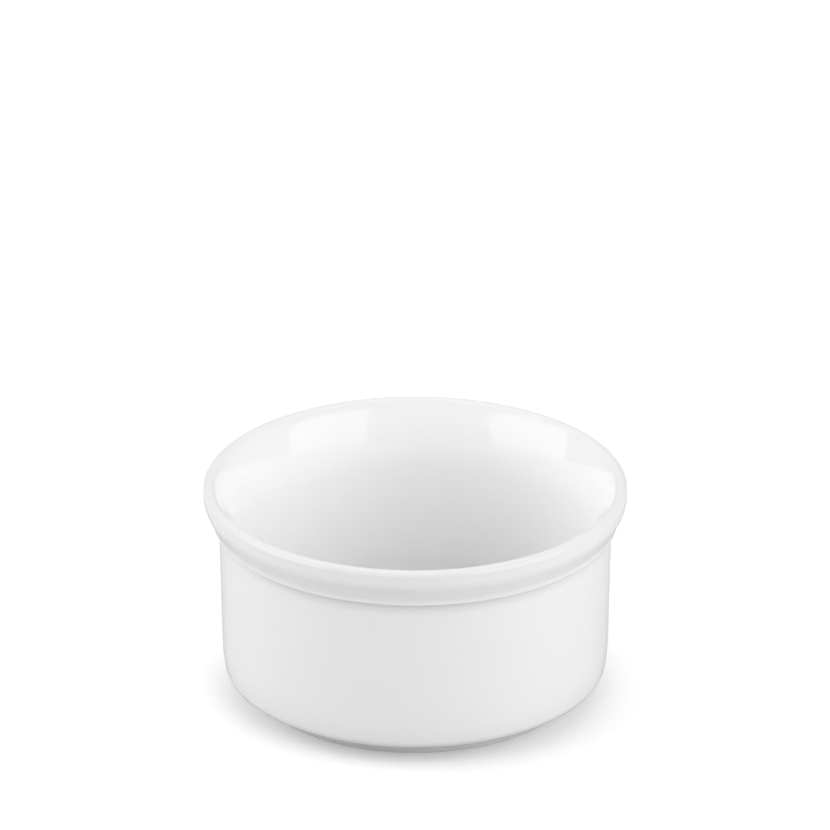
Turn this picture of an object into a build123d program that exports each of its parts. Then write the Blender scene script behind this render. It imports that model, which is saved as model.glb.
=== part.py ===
from build123d import *
from math import atan2, hypot, radians, tan
import os

# A ramekin: one fired stoneware pot with glaze fired onto it.
# Every piece is turned about the Z axis, so each is drawn as one half section
# (radius, height) and revolved. The origin is the middle of the foot's ground face,
# on the table. Lengths are millimetres and angles are degrees from the vertical.
# Radii and heights are those of the glazed surface, unless a comment says otherwise.

# Overall sizes
rim_radius = 45.0
total_height = 47.0
glaze_thickness = 0.3

# Lip: an overhanging bead low down, a face that leans out to the widest circle, a round crown
lip_height = 8.55
lip_overhang = 3.26
bead_overhang = 1.26
bead_height = 1.14
bead_round = 0.42
step_round = 0.35
cavetto_round = 2.5
belly_drop = 3.5
belly_round = 5.5
crown_width = 2.2
crown_outer_round = 1.2
crown_inner_round = 1.7

# Wall: leans outwards a little, above a heel that turns in to the foot
wall_lean = 1.25
wall_thickness = 3.7
heel_lean = 9.3
heel_break_height = 8.5
heel_sweep = 36.0
heel_round = 2.75

# Bowl: the mouth's flare eases in one long curve into a nearly straight bore above a flat floor
flare_lean = 35.0
flare_round = 22.0
floor_thickness = 4.0
floor_round = 4.5

# Foot ring, with its ground face left bare
foot_inset = 7.24
foot_width = 3.6
foot_height = 3.4
foot_draft = 6.0
foot_edge_round = 0.6
foot_root_round = 0.9
recess_height = 2.0
recess_round = 1.3
dry_height = 1.1
glaze_edge_round = 0.12

# Drawn past the axis, so that the glaze comes off the section evenly there too
axis_overrun = 2.0
# The most of a side that the rounds at its two ends may take up
side_share = 0.98

# Radii and heights that several corners share
wall_radius = rim_radius - lip_overhang
bead_radius = wall_radius + bead_overhang
step_height = total_height - lip_height
floor_height = recess_height + floor_thickness
foot_radius = wall_radius - foot_inset


def slope(lean):
    """How far a line at this lean moves outwards for each millimetre that it rises."""
    return tan(radians(lean))


def drift(lean, height):
    """How far a line at this lean moves outwards while it rises by this height."""
    return height * slope(lean)


def wall_at(height):
    """Outside radius of the wall's straight part at this height."""
    return wall_radius - drift(wall_lean, step_height - height)


def bore_at(height):
    """Radius of the bowl's straight bore at this height."""
    return wall_at(height) - wall_thickness


def outside_corners():
    """Corners from the foot up the outside to the crown, each with its round.

    The foot is drawn one glaze thickness below the table, so that its bare ground
    face comes out at the table once the glaze is taken off.
    """
    ring_radius = foot_radius - foot_width
    ring_drift = drift(foot_draft, recess_height + glaze_thickness)
    foot_drift = drift(foot_draft, foot_height + glaze_thickness)
    heel_radius = wall_at(heel_break_height) - drift(heel_lean, heel_break_height - foot_height)
    return [
        ((-axis_overrun, recess_height), 0),
        ((ring_radius - ring_drift, recess_height), recess_round),
        ((ring_radius, -glaze_thickness), foot_edge_round),
        ((foot_radius, -glaze_thickness), foot_edge_round),
        ((foot_radius + foot_drift, foot_height), foot_root_round),
        ((heel_radius, foot_height), heel_round),
        ((wall_at(heel_break_height), heel_break_height), heel_sweep),
        ((wall_radius, step_height), step_round),
        ((bead_radius, step_height), bead_round),
        ((bead_radius, step_height + bead_height), cavetto_round),
        ((rim_radius, total_height - belly_drop), belly_round),
        ((rim_radius, total_height), crown_outer_round),
    ]


def bowl_corners():
    """Corners from the crown down the flared mouth and the bore to the floor."""
    mouth_radius = rim_radius - crown_width
    flare_depth = (mouth_radius - bore_at(total_height)) / (slope(flare_lean) - slope(wall_lean))
    bend_height = total_height - flare_depth
    return [
        ((mouth_radius, total_height), crown_inner_round),
        ((bore_at(bend_height), bend_height), flare_round),
        ((bore_at(floor_height), floor_height), floor_round),
        ((-axis_overrun, floor_height), 0),
    ]


def fitted_rounds(points, rounds):
    """The wanted rounds, each made smaller where the sides that it joins are too short."""
    count = len(points)
    sides = []
    for number, (start_x, start_y) in enumerate(points):
        end_x, end_y = points[(number + 1) % count]
        sides.append((end_x - start_x, end_y - start_y))
    half_tangents = []
    for number, (out_x, out_y) in enumerate(sides):
        in_x, in_y = sides[number - 1]
        turn = atan2(in_x * out_y - in_y * out_x, in_x * out_x + in_y * out_y)
        half_tangents.append(tan(abs(turn) / 2))
    limits = [1] * count
    for number, side in enumerate(sides):
        following = (number + 1) % count
        reach = rounds[number] * half_tangents[number] + rounds[following] * half_tangents[following]
        room = side_share * hypot(*side)
        if reach > room:
            limits[number] = min(limits[number], room / reach)
            limits[following] = min(limits[following], room / reach)
    return [wanted * limit for wanted, limit in zip(rounds, limits)]


def section(corners):
    """Face in the XZ plane with straight sides from corner to corner, and rounds between them."""
    points = [point for point, wanted_round in corners]
    rounds = fitted_rounds(points, [wanted_round for point, wanted_round in corners])
    return make_face(Plane.XZ * FilletPolyline(*points, radius=rounds, close=True))


def slab(radius_from, radius_to, height_from, height_to):
    """Rectangle in the XZ plane between two radii and two heights."""
    centre = Pos((radius_from + radius_to) / 2, (height_from + height_to) / 2)
    return Plane.XZ * centre * Rectangle(radius_to - radius_from, height_to - height_from)


def run_out(skin, proud_end):
    """Skin section whose free end above the bare foot has its proud corner rounded."""
    end_corners = skin.vertices().group_by(Axis.Z)[0].sort_by(Axis.X)
    return skin.fillet_2d(glaze_edge_round, [end_corners[proud_end]])


def turned(face):
    """Solid of revolution about the Z axis."""
    return revolve(face, axis=Axis.Z, revolution_arc=360)


# The glazed pot, the bare one inside it, and the two skins of glaze between them
glazed_section = section(outside_corners() + bowl_corners())
bisque_section = offset(glazed_section, amount=-glaze_thickness)
right_of_axis = slab(0, rim_radius + axis_overrun, -axis_overrun, total_height + axis_overrun)
bare_band = slab(-axis_overrun, rim_radius, -axis_overrun, dry_height)
skins = ((glazed_section - bisque_section) & right_of_axis) - bare_band
underside_skin, coat_skin = skins.faces().sort_by(Axis.Z)

nodes = {
    "stoneware_body": turned(bisque_section & right_of_axis),
    "glaze_coat": turned(run_out(coat_skin, -1)),
    "underside_glaze": turned(run_out(underside_skin, 0)),
}

os.makedirs("parts", exist_ok=True)
for name, shape in nodes.items():
    export_step(shape, f"parts/{name}.step")
    print(name, "volume", round(shape.volume), "top", round(shape.bounding_box().max.Z, 2))
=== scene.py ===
from math import cos, pi, radians, sin, tan

import bpy
import numpy as np
from mathutils import Matrix, Vector


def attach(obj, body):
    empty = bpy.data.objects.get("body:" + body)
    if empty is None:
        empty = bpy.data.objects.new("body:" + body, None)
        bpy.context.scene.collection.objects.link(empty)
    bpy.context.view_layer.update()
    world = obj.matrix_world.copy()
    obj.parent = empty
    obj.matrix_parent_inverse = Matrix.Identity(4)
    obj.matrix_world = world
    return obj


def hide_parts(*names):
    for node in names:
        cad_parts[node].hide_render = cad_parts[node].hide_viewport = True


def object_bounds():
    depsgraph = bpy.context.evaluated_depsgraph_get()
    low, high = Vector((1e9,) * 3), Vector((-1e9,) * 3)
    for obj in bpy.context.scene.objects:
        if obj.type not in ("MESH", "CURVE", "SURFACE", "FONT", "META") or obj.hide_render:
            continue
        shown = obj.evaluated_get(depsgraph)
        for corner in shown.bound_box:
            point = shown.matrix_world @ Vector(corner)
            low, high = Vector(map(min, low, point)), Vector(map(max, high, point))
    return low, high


# A white glazed ramekin: the fired pot, the glaze over it and the glaze under its base.
# Each is a fine turned surface in the place of its CAD node. Sizes are millimetres here
# and metres in the meshes, and angles are degrees.

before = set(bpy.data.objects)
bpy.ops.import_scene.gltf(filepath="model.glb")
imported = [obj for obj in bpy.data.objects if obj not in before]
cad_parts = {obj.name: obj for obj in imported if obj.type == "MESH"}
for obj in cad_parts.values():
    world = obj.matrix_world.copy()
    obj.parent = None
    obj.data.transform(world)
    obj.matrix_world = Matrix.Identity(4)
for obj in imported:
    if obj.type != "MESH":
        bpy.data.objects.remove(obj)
cadLow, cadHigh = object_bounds()
mm = 0.001
print("frame loaded:", ", ".join(sorted(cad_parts)))

# The pot's half section. The rim's radius and the height come from the frame.
pot = {
    "rimRadius": cadHigh.x / mm,
    "height": cadHigh.z / mm,
    "glaze": 0.3,
    "lipHeight": 8.55,
    "lipOverhang": 3.26,
    "beadOverhang": 1.26,
    "beadHeight": 1.14,
    "beadRound": 0.42,
    "stepRound": 0.35,
    "cavettoRound": 2.5,
    "bellyDrop": 3.5,
    "bellyRound": 5.5,
    "crownWidth": 2.2,
    "crownOuterRound": 1.2,
    "crownInnerRound": 1.7,
    "wallLean": 1.25,
    "wall": 3.7,
    "heelLean": 9.3,
    "heelBreak": 8.5,
    "heelSweep": 36.0,
    "heelRound": 2.75,
    "flareLean": 35.0,
    "flareRound": 22.0,
    "floor": 4.0,
    "floorRound": 4.5,
    "footInset": 7.24,
    "footWidth": 3.6,
    "footHeight": 3.4,
    "footDraft": 6.0,
    "footEdgeRound": 0.6,
    "footRootRound": 0.9,
    "recess": 2.0,
    "recessRound": 1.3,
}

# How finely every surface is made
mesh = {
    "around": 256,       # steps round the axis
    "arcStep": 6.0,      # degrees between points on a round
    "lineStep": 2.6,     # millimetres between points on a straight
    "leastRound": 0.001,  # stands for the round of a sharp corner, in its bend
    "hiddenShare": 3,    # every third point is enough where glaze meets stoneware
}

# Where the glaze stops above the bare foot
glazeEdge = {
    "height": 1.1,       # above the table
    "wander": 0.12,      # how far the line strays up and down, wiped by hand
    "roll": 0.55,        # length over which the glaze thins to nothing
    "rollPoints": 9,
    "waves": (2, 3, 5, 9, 14),
    "seed": 7,
}


# Corners (radius, height, round) of the glazed half section, from the axis under the base, out round
# the foot, up the outside, over the crown and down the bowl to the axis.
def potCorners():
    p = pot
    wallRadius = p["rimRadius"] - p["lipOverhang"]
    beadRadius = wallRadius + p["beadOverhang"]
    step = p["height"] - p["lipHeight"]
    floor = p["recess"] + p["floor"]
    foot = wallRadius - p["footInset"]
    ring = foot - p["footWidth"]
    ground = -p["glaze"]
    lean = tan(radians(p["wallLean"]))
    draft = tan(radians(p["footDraft"]))
    heelWall = wallRadius - lean * (step - p["heelBreak"])
    heel = heelWall - tan(radians(p["heelLean"])) * (p["heelBreak"] - p["footHeight"])
    topBore = wallRadius + lean * (p["height"] - step) - p["wall"]
    mouth = p["rimRadius"] - p["crownWidth"]
    flareDepth = (mouth - topBore) / (tan(radians(p["flareLean"])) - lean)
    return np.array([
        (0, p["recess"], 0),
        (ring - draft * (p["recess"] - ground), p["recess"], p["recessRound"]),
        (ring, ground, p["footEdgeRound"]),
        (foot, ground, p["footEdgeRound"]),
        (foot + draft * (p["footHeight"] - ground), p["footHeight"], p["footRootRound"]),
        (heel, p["footHeight"], p["heelRound"]),
        (heelWall, p["heelBreak"], p["heelSweep"]),
        (wallRadius, step, p["stepRound"]),
        (beadRadius, step, p["beadRound"]),
        (beadRadius, step + p["beadHeight"], p["cavettoRound"]),
        (p["rimRadius"], p["height"] - p["bellyDrop"], p["bellyRound"]),
        (p["rimRadius"], p["height"], p["crownOuterRound"]),
        (mouth, p["height"], p["crownInnerRound"]),
        (topBore - lean * flareDepth, p["height"] - flareDepth, p["flareRound"]),
        (topBore - lean * (p["height"] - floor), floor, p["floorRound"]),
        (0, floor, 0),
    ])


# A line from corner to corner in which every corner is an arc that both its lines touch. Lines and arcs
# alike are stretches of steady bend: after a length s with bend b, the point lies s * sin(bs/2) / (bs/2)
# from the start, along the heading turned by bs/2. Returns the points, their outward normals, the bend
# and the length so far.
def roundedOutline(corners):
    place, rounds = corners[:, :2], corners[1:-1, 2]
    side = np.diff(place, axis=0)
    heading = np.arctan2(side[:, 1], side[:, 0])
    turn = (np.diff(heading) + pi) % (2 * pi) - pi
    reach = np.concatenate([[0], rounds * np.tan(np.abs(turn) / 2), [0]])
    lineLength = np.hypot(*side.T) - reach[:-1] - reach[1:]
    along = np.stack([np.cos(heading), np.sin(heading)], axis=1)
    lineStart = place[:-1] + along * reach[:-1, None]
    arcStart = place[1:-1] - along[:-1] * reach[1:-1, None]
    count = len(lineLength) + len(turn)
    start = np.empty((count, 2))
    start[0::2], start[1::2] = lineStart, arcStart
    begins, length, bend = np.empty(count), np.empty(count), np.zeros(count)
    begins[0::2], begins[1::2] = heading, heading[:-1]
    length[0::2], length[1::2] = lineLength, rounds * np.abs(turn)
    bend[1::2] = np.sign(turn) / np.maximum(rounds, mesh["leastRound"])
    steps = np.ceil(length / mesh["lineStep"])
    steps[1::2] = np.ceil(np.degrees(np.abs(turn)) / mesh["arcStep"])
    steps = np.maximum(steps, 1).astype(int)
    owner = np.repeat(np.arange(count), steps)
    number = np.arange(len(owner)) - np.repeat(np.cumsum(steps) - steps, steps)
    gone = length[owner] * number / steps[owner]
    half = bend[owner] * gone / 2
    chord = gone * np.sinc(half / pi)
    chordHeading = begins[owner] + half
    points = start[owner] + chord[:, None] * np.stack([np.cos(chordHeading), np.sin(chordHeading)], axis=1)
    facing = begins[owner] + 2 * half
    points = np.vstack([points, place[-1]])
    facing = np.append(facing, heading[-1])
    normals = np.stack([np.sin(facing), -np.cos(facing)], axis=1)
    travelled = np.append((np.cumsum(length) - length)[owner] + gone, length.sum())
    return points, normals, np.append(bend[owner], 0), travelled


# A closed surface turned about the Z axis: point (i, j) is radius[i, j] out at angle 2 pi j / around, and
# height[i, j] up. The first and last rows are the poles, one vertex each. Going along the section, the
# clay is on the left, and faces point away from it.
def turnedPiece(name, section, shadeDepth):
    around = mesh["around"]
    rows = len(section)
    angle = np.arange(around) * 2 * pi / around
    grid = np.broadcast_to(section, (rows, around, 2)) * mm
    rings = np.stack([grid[..., 0] * np.cos(angle), grid[..., 0] * np.sin(angle), grid[..., 1]], axis=-1)
    onAxis = (0, 0, 1)
    vertices = np.concatenate([rings[0, :1] * onAxis, rings[1:-1].reshape(-1, 3), rings[-1, :1] * onAxis])
    last = len(vertices) - 1
    column = np.arange(around)
    following = (column + 1) % around
    row = 1 + around * np.arange(rows - 3)[:, None]
    nextRow = row + around
    quads = np.stack([row + column, row + following, nextRow + following, nextRow + column], axis=-1)
    end = 1 + around * (rows - 3)
    firstFan = np.stack([np.zeros_like(column), 1 + following, 1 + column], axis=-1)
    lastFan = np.stack([end + column, end + following, np.full_like(column, last)], axis=-1)
    loops = np.concatenate([firstFan.ravel(), quads.ravel(), lastFan.ravel()])
    sizes = np.concatenate([np.full(around, 3), np.full(quads.size // 4, 4), np.full(around, 3)])
    data = bpy.data.meshes.new(name)
    data.vertices.add(len(vertices))
    data.vertices.foreach_set("co", vertices.astype(np.float32).ravel())
    data.loops.add(len(loops))
    data.loops.foreach_set("vertex_index", loops.astype(np.int32))
    data.polygons.add(len(sizes))
    data.polygons.foreach_set("loop_start", (np.cumsum(sizes) - sizes).astype(np.int32))
    data.update(calc_edges=True)
    data.validate()
    data.shade_smooth()
    # Each point's glaze thickness and shade value, which the glaze's colour reads: painted shade in the
    # creases, and a darker thin glaze over edges that also stands for painted shade on the crown
    glazeShade = data.attributes.new("glazeDepthAndShade", "FLOAT", "POINT")
    values = np.concatenate([shadeDepth[:1], np.repeat(shadeDepth[1:-1], around), shadeDepth[-1:]])
    glazeShade.data.foreach_set("value", values.astype(np.float32))
    piece = bpy.data.objects.new(name, data)
    bpy.context.scene.collection.objects.link(piece)
    print(name, "made,", len(sizes), "faces")
    return piece


# These set how the section's bend becomes the glaze colour's value, which paints shade into the creases and
# dims the edges
bendShading = {
    "spread": 0.9,       # length over which molten glaze evens itself out
    "strength": 0.8,     # how soon a bend thins the glaze or pools it, in millimetres of radius
}


# How deep the glaze lies, which the glaze's colour also uses for painted shade, from 0 where it draws thin
# over an edge to 1 where it pools in a hollow and the colour paints shade into the crease: the bend of the
# section, averaged over a short length with a bell curve, since molten glaze evens itself out.
def glazeDepthAndShade(bend, travelled):
    share = np.gradient(travelled)
    distance = travelled[:, None] - travelled[None, :]
    weight = np.exp(-0.5 * (distance / bendShading["spread"]) ** 2) * share
    return 0.5 - 0.5 * np.tanh(bendShading["strength"] * (weight @ bend) / weight.sum(axis=1))


# The height that the glaze's edge strays by at each angle: a sum of sine waves, each weaker with its count.
def edgeWander():
    random = np.random.default_rng(glazeEdge["seed"])
    counts = np.array(glazeEdge["waves"])
    phases = random.uniform(0, 2 * pi, len(counts))
    angle = np.arange(mesh["around"]) * 2 * pi / mesh["around"]
    waves = np.sin(counts[:, None] * angle + phases[:, None]) / np.sqrt(counts)[:, None]
    return glazeEdge["wander"] * waves.sum(axis=0) / np.abs(waves.sum(axis=0)).max()


# One skin of glaze over the stoneware: the section goes out over the glaze, whose thickness grows from
# nothing at the edge as a quarter ellipse, and back along the stoneware. Near the edge both follow its
# wander.
def glazeSkin(name, bare, normals, shadeDepth, fromPole):
    if fromPole:
        bare, normals, shadeDepth = bare[::-1], normals[::-1], shadeDepth[::-1]
    step = np.concatenate([[0], np.hypot(*np.diff(bare, axis=0).T)]).cumsum()
    roll = glazeEdge["roll"] * np.linspace(0, 1, glazeEdge["rollPoints"]) ** 2
    places = np.concatenate([roll, step[step > glazeEdge["roll"]]])
    resample = lambda values: np.interp(places, step, values)
    base = np.stack([resample(bare[:, 0]), resample(bare[:, 1])], axis=1)
    outward = np.stack([resample(normals[:, 0]), resample(normals[:, 1])], axis=1)
    outward /= np.hypot(*outward.T)[:, None]
    full = np.clip(places / glazeEdge["roll"], 0, 1)
    thickness = pot["glaze"] * np.sqrt(1 - (1 - full) ** 2)
    outer = base + outward * thickness[:, None]
    hidden = np.arange(glazeEdge["rollPoints"], len(places) - 1, mesh["hiddenShare"])
    hidden = np.append(hidden, len(places) - 1)
    fade = np.clip(1 - places / (pot["footHeight"] - glazeEdge["height"]), 0, 1)
    stray = np.zeros((len(places), mesh["around"], 2))
    stray[..., 1] = fade[:, None] * edgeWander()
    outerGrid = outer[:, None] + stray
    hiddenGrid = base[hidden][:, None] + stray[hidden]
    section = np.concatenate([hiddenGrid[::-1], outerGrid])
    glazeShade = np.concatenate([resample(shadeDepth)[hidden][::-1], resample(shadeDepth)])
    if fromPole:
        section, glazeShade = section[::-1], glazeShade[::-1]
    return turnedPiece(name, section, glazeShade)


outline, outlineNormals, outlineBend, outlineLength = roundedOutline(potCorners())
# The bend's value along the outline, which the glaze colour turns into painted shade
shadeDepthAlong = glazeDepthAndShade(outlineBend, outlineLength)
bareOutline = outline - outlineNormals * pot["glaze"]
bareOutline[[0, -1], 0] = 0

# The points of the foot that stay bare, from the first inside the ring to the last outside it
bareFoot = np.flatnonzero(bareOutline[:, 1] < glazeEdge["height"])
insideEdge, outsideEdge = bareFoot[0], bareFoot[-1]


# A point on the outline between two of its own, at the height of the glaze's edge
def edgePoint(above, below):
    share = (glazeEdge["height"] - bareOutline[below, 1]) / (bareOutline[above, 1] - bareOutline[below, 1])
    mix = lambda values: values[below] + share * (values[above] - values[below])
    return mix(bareOutline), mix(outlineNormals), mix(shadeDepthAlong)


edge = edgePoint(outsideEdge + 1, outsideEdge)
coat = glazeSkin(
    "glaze_over_pot",
    np.vstack([edge[0], bareOutline[outsideEdge + 1:]]),
    np.vstack([edge[1], outlineNormals[outsideEdge + 1:]]),
    np.append(edge[2], shadeDepthAlong[outsideEdge + 1:]),
    fromPole=False,
)
edge = edgePoint(insideEdge - 1, insideEdge)
underside = glazeSkin(
    "glaze_under_base",
    np.vstack([bareOutline[:insideEdge], edge[0]]),
    np.vstack([outlineNormals[:insideEdge], edge[1]]),
    np.append(shadeDepthAlong[:insideEdge], edge[2]),
    fromPole=True,
)
body = turnedPiece("fired_stoneware", bareOutline[:, None], shadeDepthAlong)

for piece, node, slot in (
    (coat, "glaze_coat", "white_glaze"),
    (underside, "underside_glaze", "white_glaze"),
    (body, "stoneware_body", "bare_stoneware"),
):
    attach(piece, "root")
    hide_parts(node)


def newMaterial(name):
    material = bpy.data.materials.new(name)
    material.use_nodes = True
    tree = material.node_tree
    return material, tree, tree.nodes["Principled BSDF"]


# One shader node. An input is either another node's output, which is linked, or a value.
def addNode(tree, kind, inputs=None, **settings):
    node = tree.nodes.new(kind)
    for key, value in settings.items():
        setattr(node, key, value)
    for key, value in (inputs or {}).items():
        if isinstance(value, bpy.types.NodeSocket):
            tree.links.new(value, node.inputs[key])
        else:
            node.inputs[key].default_value = value
    return node


glazeLook = {
    # Value and colour where the glaze is drawn thin over edges (darker, partly the body showing through and
    # partly painted shade that dims the crown), where it lies even, and in hollows (darker, painted shade
    # in the creases)
    "colours": (
        (0.0, (0.782, 0.78, 0.774, 1)),
        (0.5, (0.885, 0.885, 0.885, 1)),
        (1.0, (0.757, 0.76, 0.764, 1)),
    ),
    "mottle": 0.06,      # how far the depth that the colour shows strays over the surface
    "mottleScale": 70,
    "mottleDetail": 4.0,
    "roughness": (0.03, 0.07),
    "index": 1.5,
    "peelScale": 650,    # the fine skin of a fired glaze
    "peelDetail": 2.0,
    "peelHeight": 0.0000012,
    "waveScale": 85,     # its slow unevenness, which bends what it mirrors
    "waveDetail": 1.0,
    "waveHeight": 0.000012,
}
noiseMiddle = 0.5        # a noise texture's average


def glazeMaterial():
    g = glazeLook
    material, tree, shader = newMaterial("white_glaze")
    where = addNode(tree, "ShaderNodeTexCoord").outputs["Object"]
    shadeDepth = addNode(tree, "ShaderNodeAttribute", attribute_name="glazeDepthAndShade").outputs["Fac"]
    mottle = addNode(tree, "ShaderNodeTexNoise",
                     {"Vector": where, "Scale": g["mottleScale"], "Detail": g["mottleDetail"]})
    uneven = addNode(tree, "ShaderNodeMath", {0: mottle.outputs["Fac"], 1: noiseMiddle},
                     operation="SUBTRACT")
    spread = addNode(tree, "ShaderNodeMath", {0: uneven.outputs[0], 1: g["mottle"], 2: shadeDepth},
                     operation="MULTIPLY_ADD")
    # Painted shade: the colour darkens in the creases and, partly as thin glaze, over the crown and the
    # other edges
    colour = addNode(tree, "ShaderNodeValToRGB", {"Fac": spread.outputs[0]})
    stops = colour.color_ramp.elements
    for place, shade in g["colours"][1:-1]:
        stops.new(place)
    for stop, (place, shade) in zip(stops, g["colours"]):
        stop.position, stop.color = place, shade
    tree.links.new(colour.outputs["Color"], shader.inputs["Base Color"])
    low, high = g["roughness"]
    rough = addNode(tree, "ShaderNodeMapRange",
                    {"Value": mottle.outputs["Fac"], "To Min": low, "To Max": high})
    tree.links.new(rough.outputs[0], shader.inputs["Roughness"])
    wave = addNode(tree, "ShaderNodeTexNoise",
                   {"Vector": where, "Scale": g["waveScale"], "Detail": g["waveDetail"]})
    peel = addNode(tree, "ShaderNodeTexNoise",
                   {"Vector": where, "Scale": g["peelScale"], "Detail": g["peelDetail"]})
    slow = addNode(tree, "ShaderNodeBump", {"Height": wave.outputs["Fac"], "Distance": g["waveHeight"]})
    fine = addNode(tree, "ShaderNodeBump", {"Height": peel.outputs["Fac"], "Distance": g["peelHeight"],
                                            "Normal": slow.outputs[0]})
    tree.links.new(fine.outputs[0], shader.inputs["Normal"])
    shader.inputs["IOR"].default_value = g["index"]
    return material


bareLook = {
    "colour": (0.84, 0.82, 0.78, 1),
    "grainColour": (0.78, 0.76, 0.715, 1),
    "grainScale": 2600,
    "grainDetail": 5.0,
    "grainHeight": 0.00003,
    "ringScale": 5200,   # the rings that grinding leaves round the foot
    "ringDetail": 3.0,
    "ringHeight": 0.000012,
    "roughness": (0.72, 0.92),
}


def bareMaterial():
    b = bareLook
    material, tree, shader = newMaterial("bare_stoneware")
    where = addNode(tree, "ShaderNodeTexCoord").outputs["Object"]
    grain = addNode(tree, "ShaderNodeTexNoise",
                    {"Vector": where, "Scale": b["grainScale"], "Detail": b["grainDetail"]})
    split = addNode(tree, "ShaderNodeSeparateXYZ", {"Vector": where})
    flat = addNode(tree, "ShaderNodeCombineXYZ", {"X": split.outputs["X"], "Y": split.outputs["Y"]})
    radius = addNode(tree, "ShaderNodeVectorMath", {0: flat.outputs[0]}, operation="LENGTH")
    rings = addNode(tree, "ShaderNodeTexNoise",
                    {"W": radius.outputs["Value"], "Scale": b["ringScale"], "Detail": b["ringDetail"]},
                    noise_dimensions="1D")
    colour = addNode(tree, "ShaderNodeMix", {0: grain.outputs["Fac"], 6: b["colour"], 7: b["grainColour"]},
                     data_type="RGBA")
    tree.links.new(colour.outputs[2], shader.inputs["Base Color"])
    low, high = b["roughness"]
    rough = addNode(tree, "ShaderNodeMapRange",
                    {"Value": rings.outputs["Fac"], "To Min": low, "To Max": high})
    tree.links.new(rough.outputs[0], shader.inputs["Roughness"])
    pitted = addNode(tree, "ShaderNodeBump", {"Height": grain.outputs["Fac"], "Distance": b["grainHeight"]})
    ground = addNode(tree, "ShaderNodeBump", {"Height": rings.outputs["Fac"], "Distance": b["ringHeight"],
                                              "Normal": pitted.outputs[0]})
    tree.links.new(ground.outputs[0], shader.inputs["Normal"])
    return material


glaze = glazeMaterial()
coat.data.materials.append(glaze)
underside.data.materials.append(glaze)
body.data.materials.append(bareMaterial())
print("materials done")

# The floor is a wide matt sheet, and is made twice: the one that the camera sees is white, and the one that
# throws light back up at the pot is a light grey, because a photograph's white is brighter than its paper.
floorLook = {
    "size": 12.0,
    "seenColour": (1.0, 1.0, 1.0, 1),
    "seenGlow": 0.06,    # makes up for the corners that the panels light less
    "bounceColour": (0.6, 0.6, 0.6, 1),
    "drop": 0.05,        # the second sheet lies this far under the first
    "grainScale": 900,
    "grainHeight": 0.00002,
}


def addFloor(name, colour, height, glow=0.0):
    half = floorLook["size"] / 2
    corners = [(-half, -half, height), (half, -half, height), (half, half, height), (-half, half, height)]
    data = bpy.data.meshes.new(name)
    data.from_pydata(corners, [], [(0, 1, 2, 3)])
    floor = bpy.data.objects.new(name, data)
    bpy.context.scene.collection.objects.link(floor)
    material, tree, shader = newMaterial(name)
    where = addNode(tree, "ShaderNodeTexCoord").outputs["Object"]
    grain = addNode(tree, "ShaderNodeTexNoise", {"Vector": where, "Scale": floorLook["grainScale"]})
    bump = addNode(tree, "ShaderNodeBump",
                   {"Height": grain.outputs["Fac"], "Distance": floorLook["grainHeight"]})
    tree.links.new(bump.outputs[0], shader.inputs["Normal"])
    shader.inputs["Base Color"].default_value = colour
    shader.inputs["Roughness"].default_value = 1.0
    shader.inputs["Specular IOR Level"].default_value = 0.0
    shader.inputs["Emission Color"].default_value = colour
    shader.inputs["Emission Strength"].default_value = glow
    data.materials.append(material)
    return floor


seenFloor = addFloor("white_floor", floorLook["seenColour"], 0, floorLook["seenGlow"])
seenFloor.visible_diffuse = seenFloor.visible_glossy = seenFloor.visible_shadow = False
bounceFloor = addFloor("grey_floor", floorLook["bounceColour"], -floorLook["drop"] * mm)
bounceFloor.visible_camera = False

# Soft panels round the pot. Azimuth 0 is where the camera stands and grows to its right. The plane of each
# panel faces the middle of the table from an azimuth, a lift above the table and a distance, and the panel
# runs in it from one length along to another, and from one length up to another, in metres. Brightness is
# the panel's own. The two softboxes only show in the glaze, and the three fills only light the pot.
softboxes = {
    "softbox_right": {"azimuth": 30, "lift": 0, "distance": 0.8, "along": (0.01, 1.03), "up": (0.02, 0.75),
                      "brightness": 1.4},
    "softbox_left": {"azimuth": -75, "lift": 0, "distance": 0.8, "along": (-0.41, 0.42), "up": (0.03, 0.70),
                     "brightness": 1.4},
}
fills = {
    "fill_back": {"azimuth": 180, "lift": 35, "distance": 1.2, "along": (-0.84, 0.84), "up": (-0.42, 0.42),
                  "brightness": 0.77},
    "fill_left": {"azimuth": -90, "lift": 28, "distance": 1.2, "along": (-0.69, 0.69), "up": (-0.37, 0.37),
                  "brightness": 2.36},
    "fill_right": {"azimuth": 60, "lift": 30, "distance": 1.2, "along": (-0.84, 0.84), "up": (-0.42, 0.42),
                   "brightness": 1.88},
}
# The white room lights the pot from everywhere, and is dimmer where the glaze mirrors it
room = {"brightness": 0.62, "mirrored": 0.28}


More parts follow.
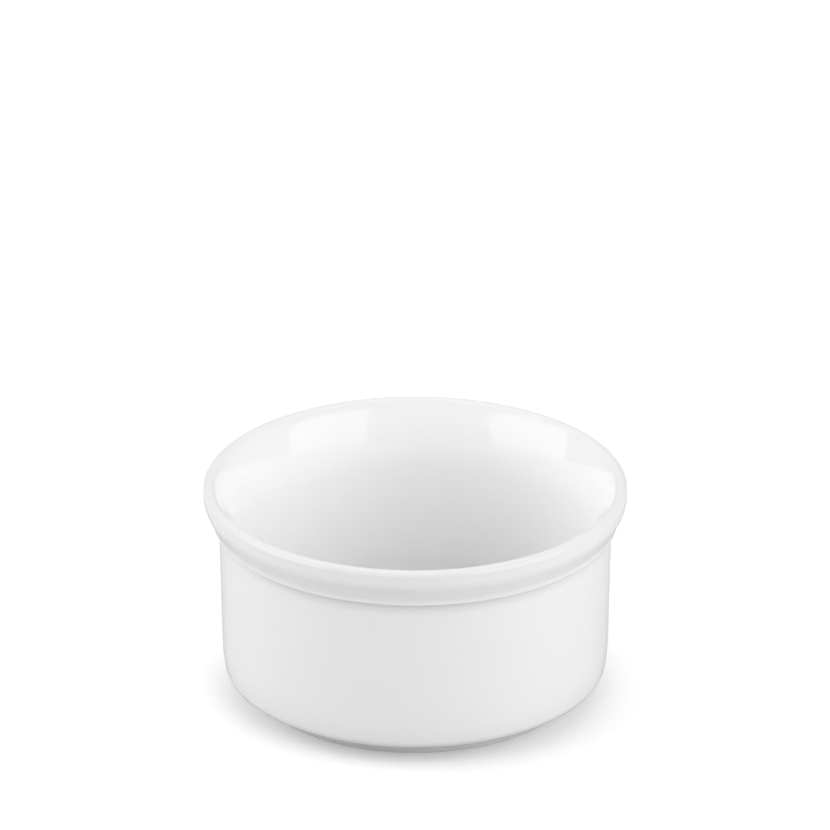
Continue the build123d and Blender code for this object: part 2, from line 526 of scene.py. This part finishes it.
def addPanel(name, look):
    azimuth, lift = radians(look["azimuth"]), radians(look["lift"])
    outwards = Vector((sin(azimuth) * cos(lift), -cos(azimuth) * cos(lift), sin(lift)))
    sideways = Vector((cos(azimuth), sin(azimuth), 0))
    upwards = outwards.cross(sideways)
    start, stop = look["along"]
    bottom, top = look["up"]
    data = bpy.data.lights.new(name, "AREA")
    data.shape = "RECTANGLE"
    data.size, data.size_y = stop - start, top - bottom
    data.energy = look["brightness"] * pi * data.size * data.size_y
    panel = bpy.data.objects.new(name, data)
    middle = outwards * look["distance"] + sideways * (start + stop) / 2 + upwards * (bottom + top) / 2
    turned = Matrix((sideways, upwards, outwards)).transposed().to_4x4()
    panel.matrix_world = Matrix.Translation(middle) @ turned
    bpy.context.scene.collection.objects.link(panel)
    return panel


for panelName, look in softboxes.items():
    addPanel(panelName, look).visible_diffuse = False
for panelName, look in fills.items():
    addPanel(panelName, look).visible_glossy = False

world = bpy.data.worlds.new("white_room")
world.use_nodes = True
walls = world.node_tree.nodes["Background"]
walls.inputs["Color"].default_value = (1, 1, 1, 1)
mirrored = addNode(world.node_tree, "ShaderNodeLightPath").outputs["Is Glossy Ray"]
strength = addNode(world.node_tree, "ShaderNodeMapRange",
                   {"Value": mirrored, "To Min": room["brightness"], "To Max": room["mirrored"]})
world.node_tree.links.new(strength.outputs[0], walls.inputs["Strength"])
bpy.context.scene.world = world
bpy.context.scene.view_settings.view_transform = "Standard"
print("lights done")

# The camera, at the photograph's angle
view = {
    "frame": 830,        # pixels across the picture
    "focal": 10000.0,    # in the same pixels
    "sensor": 36.0,
    "back": 1922.08,
    "up": 942.12,
    "lookDown": 24.585,
    "axisRight": 0.35,   # pixels by which the pot's axis stands right of the middle
}
cameraData = bpy.data.cameras.new("camera")
cameraData.sensor_width = view["sensor"]
cameraData.lens = view["focal"] / view["frame"] * cameraData.sensor_width
camera = bpy.data.objects.new("camera", cameraData)
camera.location = (0, -view["back"] * mm, view["up"] * mm)
camera.rotation_euler = (radians(90 - view["lookDown"]), 0, view["axisRight"] / view["focal"])
bpy.context.scene.collection.objects.link(camera)
bpy.context.scene.camera = camera
print("camera done")
